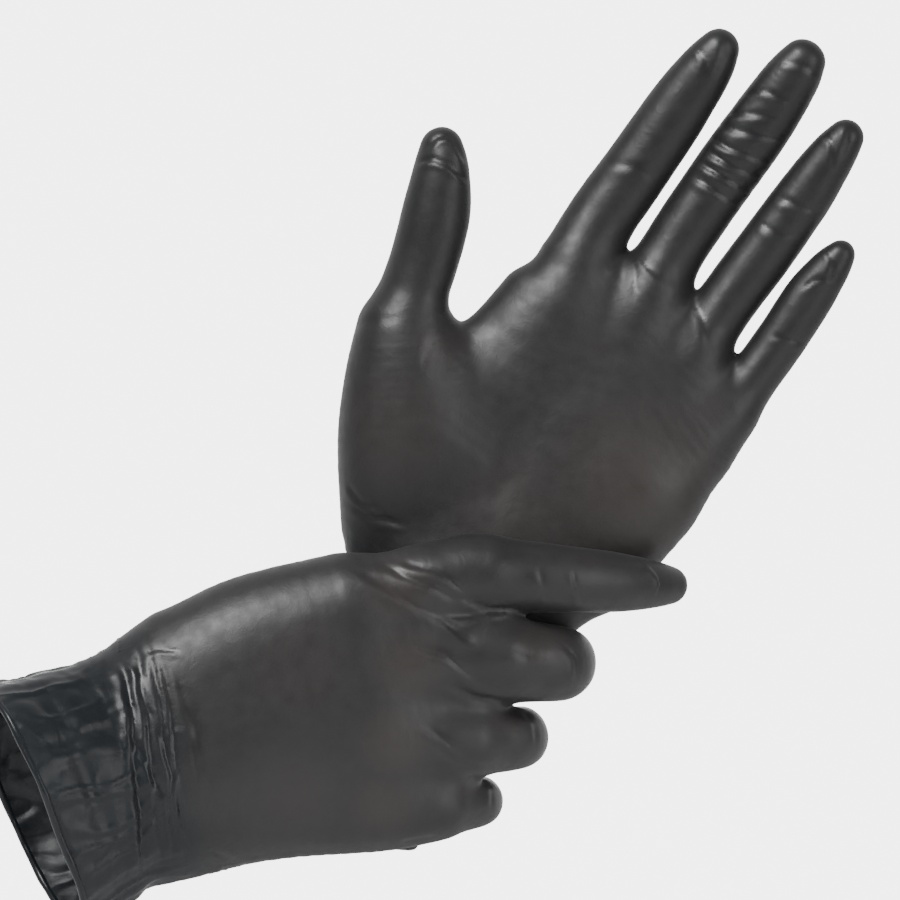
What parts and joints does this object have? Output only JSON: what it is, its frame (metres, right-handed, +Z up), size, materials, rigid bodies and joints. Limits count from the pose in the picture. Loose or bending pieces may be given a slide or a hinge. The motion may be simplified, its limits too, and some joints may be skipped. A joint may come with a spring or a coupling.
{
  "type": "disposable gloves",
  "caption": "Thin black dipped gloves worn as a pair, one open and one gripping the other's wrist.",
  "frame": {"origin": "middle of the open left glove's wrist, where the wearer's wrist holds it", "axes": "+X to the side the gripping fingers point to, +Y away from the open palm, +Z up, roughly towards the open fingers"},
  "size_m": [0.2733, 0.1258, 0.275],
  "materials": {
    "hand_film": "satin",
    "cuff_film": "satin",
    "rolled_rim": "semi-gloss"
  },
  "bodies": {
    "left_hand": {"left_palm": "hand_film", "left_cuff": "cuff_film", "left_cuff_bead": "rolled_rim"},
    "right_hand": {"right_palm": "hand_film", "right_cuff": "cuff_film", "right_cuff_bead": "rolled_rim"},
    "left_thumb_base": {"left_thumb_base": "hand_film"},
    "left_thumb_tip": {"left_thumb_tip": "hand_film"},
    "left_index_base": {"left_index_base": "hand_film"},
    "left_index_mid": {"left_index_mid": "hand_film"},
    "left_index_tip": {"left_index_tip": "hand_film"},
    "left_middle_base": {"left_middle_base": "hand_film"},
    "left_middle_mid": {"left_middle_mid": "hand_film"},
    "left_middle_tip": {"left_middle_tip": "hand_film"},
    "left_ring_base": {"left_ring_base": "hand_film"},
    "left_ring_mid": {"left_ring_mid": "hand_film"},
    "left_ring_tip": {"left_ring_tip": "hand_film"},
    "left_little_base": {"left_little_base": "hand_film"},
    "left_little_mid": {"left_little_mid": "hand_film"},
    "left_little_tip": {"left_little_tip": "hand_film"},
    "right_thumb_base": {"right_thumb_base": "hand_film"},
    "right_thumb_tip": {"right_thumb_tip": "hand_film"},
    "right_index_base": {"right_index_base": "hand_film"},
    "right_index_mid": {"right_index_mid": "hand_film"},
    "right_index_tip": {"right_index_tip": "hand_film"},
    "right_middle_base": {"right_middle_base": "hand_film"},
    "right_middle_mid": {"right_middle_mid": "hand_film"},
    "right_middle_tip": {"right_middle_tip": "hand_film"},
    "right_ring_base": {"right_ring_base": "hand_film"},
    "right_ring_mid": {"right_ring_mid": "hand_film"},
    "right_ring_tip": {"right_ring_tip": "hand_film"},
    "right_little_base": {"right_little_base": "hand_film"},
    "right_little_mid": {"right_little_mid": "hand_film"},
    "right_little_tip": {"right_little_tip": "hand_film"}
  },
  "joints": [
    {"name": "right_glove_slide", "type": "slide", "parent": "left_hand", "child": "right_hand", "axis": [-0.4694, 0.2597, -0.8439], "range_m": [0, 0.15]},
    {"name": "left_thumb_base_bend", "type": "hinge", "parent": "left_hand", "child": "left_thumb_base", "pos_m": [-0.0096, -0.008, 0.0874], "axis": [0.7071, 0.7071, 0.0014], "range_deg": [0, 30]},
    {"name": "left_thumb_tip_bend", "type": "hinge", "parent": "left_thumb_base", "child": "left_thumb_tip", "pos_m": [-0.00436, -0.0133, 0.11335], "axis": [0.7071, 0.7071, 0.0014], "range_deg": [0, 55]},
    {"name": "left_index_base_bend", "type": "hinge", "parent": "left_hand", "child": "left_index_base", "pos_m": [0.0499, 0, 0.1181], "axis": [0.8173, 0, -0.5762], "range_deg": [-4, 56]},
    {"name": "left_index_middle_bend", "type": "hinge", "parent": "left_index_base", "child": "left_index_mid", "pos_m": [0.0614, -0.0014, 0.13441], "axis": [0.8173, 0, -0.5762], "range_deg": [-6, 79]},
    {"name": "left_index_tip_bend", "type": "hinge", "parent": "left_index_mid", "child": "left_index_tip", "pos_m": [0.07388, -0.00522, 0.15211], "axis": [0.8173, 0, -0.5762], "range_deg": [-3.6, 47.4]},
    {"name": "left_middle_base_bend", "type": "hinge", "parent": "left_hand", "child": "left_middle_base", "pos_m": [0.0741, 0, 0.1097], "axis": [0.8327, 0, -0.5538], "range_deg": [-4, 56]},
    {"name": "left_middle_middle_bend", "type": "hinge", "parent": "left_middle_base", "child": "left_middle_mid", "pos_m": [0.08681, -0.0016, 0.1288], "axis": [0.8327, 0, -0.5538], "range_deg": [-6, 79]},
    {"name": "left_middle_tip_bend", "type": "hinge", "parent": "left_middle_mid", "child": "left_middle_tip", "pos_m": [0.10044, -0.00595, 0.14931], "axis": [0.8327, 0, -0.5538], "range_deg": [-3.6, 47.4]},
    {"name": "left_ring_base_bend", "type": "hinge", "parent": "left_hand", "child": "left_ring_base", "pos_m": [0.0877, 0, 0.0902], "axis": [0.8115, 0, -0.5844], "range_deg": [-4, 56]},
    {"name": "left_ring_middle_bend", "type": "hinge", "parent": "left_ring_base", "child": "left_ring_mid", "pos_m": [0.09965, -0.00143, 0.1068], "axis": [0.8115, 0, -0.5844], "range_deg": [-6, 79]},
    {"name": "left_ring_tip_bend", "type": "hinge", "parent": "left_ring_mid", "child": "left_ring_tip", "pos_m": [0.1126, -0.00534, 0.12478], "axis": [0.8115, 0, -0.5844], "range_deg": [-3.6, 47.4]},
    {"name": "left_little_base_bend", "type": "hinge", "parent": "left_hand", "child": "left_little_base", "pos_m": [0.097, 0, 0.0694], "axis": [0.8097, 0, -0.5868], "range_deg": [-4, 56]},
    {"name": "left_little_middle_bend", "type": "hinge", "parent": "left_little_base", "child": "left_little_mid", "pos_m": [0.10549, -0.00101, 0.08111], "axis": [0.8097, 0, -0.5868], "range_deg": [-6, 79]},
    {"name": "left_little_tip_bend", "type": "hinge", "parent": "left_little_mid", "child": "left_little_tip", "pos_m": [0.11445, -0.0037, 0.09347], "axis": [0.8097, 0, -0.5868], "range_deg": [-3.6, 47.4]},
    {"name": "right_thumb_base_bend", "type": "hinge", "parent": "right_hand", "child": "right_thumb_base", "pos_m": [-0.052, 0.004, 0.003], "axis": [-0.1526, 0.2404, -0.9586], "range_deg": [-33, 0]},
    {"name": "right_thumb_tip_bend", "type": "hinge", "parent": "right_thumb_base", "child": "right_thumb_tip", "pos_m": [-0.03049, 0.03201, 0.0066], "axis": [-0.1526, 0.2404, -0.9586], "range_deg": [-42, 0]},
    {"name": "right_index_base_bend", "type": "hinge", "parent": "right_hand", "child": "right_index_base", "pos_m": [0.0149, -0.038, 0.0087], "axis": [0.067, 0, 0.9978], "range_deg": [-8, 4]},
    {"name": "right_index_middle_bend", "type": "hinge", "parent": "right_index_base", "child": "right_index_mid", "pos_m": [0.04059, -0.03438, 0.00698], "axis": [0.067, 0, 0.9978], "range_deg": [-22, 5]},
    {"name": "right_index_tip_bend", "type": "hinge", "parent": "right_index_mid", "child": "right_index_tip", "pos_m": [0.05873, -0.02388, 0.00576], "axis": [0.067, 0, 0.9978], "range_deg": [-17.6, 4]},
    {"name": "right_middle_base_bend", "type": "hinge", "parent": "right_hand", "child": "right_middle_base", "pos_m": [0.0195, -0.038, -0.0171], "axis": [0.09, 0, 0.9959], "range_deg": [-20, 0]},
    {"name": "right_middle_middle_bend", "type": "hinge", "parent": "right_middle_base", "child": "right_middle_mid", "pos_m": [0.03616, -0.03191, -0.01861], "axis": [0.09, 0, 0.9959], "range_deg": [-66, 0]},
    {"name": "right_middle_tip_bend", "type": "hinge", "parent": "right_middle_mid", "child": "right_middle_tip", "pos_m": [0.03783, -0.00797, -0.01876], "axis": [0.09, 0, 0.9959], "range_deg": [-15.84, 0]},
    {"name": "right_ring_base_bend", "type": "hinge", "parent": "right_hand", "child": "right_ring_base", "pos_m": [0.0087, -0.038, -0.0419], "axis": [0, 0, 1], "range_deg": [-26, 0]},
    {"name": "right_ring_middle_bend", "type": "hinge", "parent": "right_ring_base", "child": "right_ring_mid", "pos_m": [0.02227, -0.03138, -0.0419], "axis": [0, 0, 1], "range_deg": [-60, 0]},
    {"name": "right_ring_tip_bend", "type": "hinge", "parent": "right_ring_mid", "child": "right_ring_tip", "pos_m": [0.02384, -0.00894, -0.0419], "axis": [0, 0, 1], "range_deg": [-15.6, 0]},
    {"name": "right_little_base_bend", "type": "hinge", "parent": "right_hand", "child": "right_little_base", "pos_m": [-0.0009, -0.038, -0.0617], "axis": [-0.035, 0, 0.9994], "range_deg": [-28, 0]},
    {"name": "right_little_middle_bend", "type": "hinge", "parent": "right_little_base", "child": "right_little_mid", "pos_m": [0.01048, -0.03194, -0.0613], "axis": [-0.035, 0, 0.9994], "range_deg": [-58, 0]},
    {"name": "right_little_tip_bend", "type": "hinge", "parent": "right_little_mid", "child": "right_little_tip", "pos_m": [0.0116, -0.01598, -0.06126], "axis": [-0.035, 0, 0.9994], "range_deg": [-15.66, 0]}
  ],
  "couplings": [
    {"joint": "left_index_tip_bend", "follows": "left_index_middle_bend", "ratio": 0.6},
    {"joint": "left_middle_tip_bend", "follows": "left_middle_middle_bend", "ratio": 0.6},
    {"joint": "left_ring_tip_bend", "follows": "left_ring_middle_bend", "ratio": 0.6},
    {"joint": "left_little_tip_bend", "follows": "left_little_middle_bend", "ratio": 0.6},
    {"joint": "right_index_tip_bend", "follows": "right_index_middle_bend", "ratio": 0.8},
    {"joint": "right_middle_tip_bend", "follows": "right_middle_middle_bend", "ratio": 0.24},
    {"joint": "right_ring_tip_bend", "follows": "right_ring_middle_bend", "ratio": 0.26},
    {"joint": "right_little_tip_bend", "follows": "right_little_middle_bend", "ratio": 0.27}
  ]
}
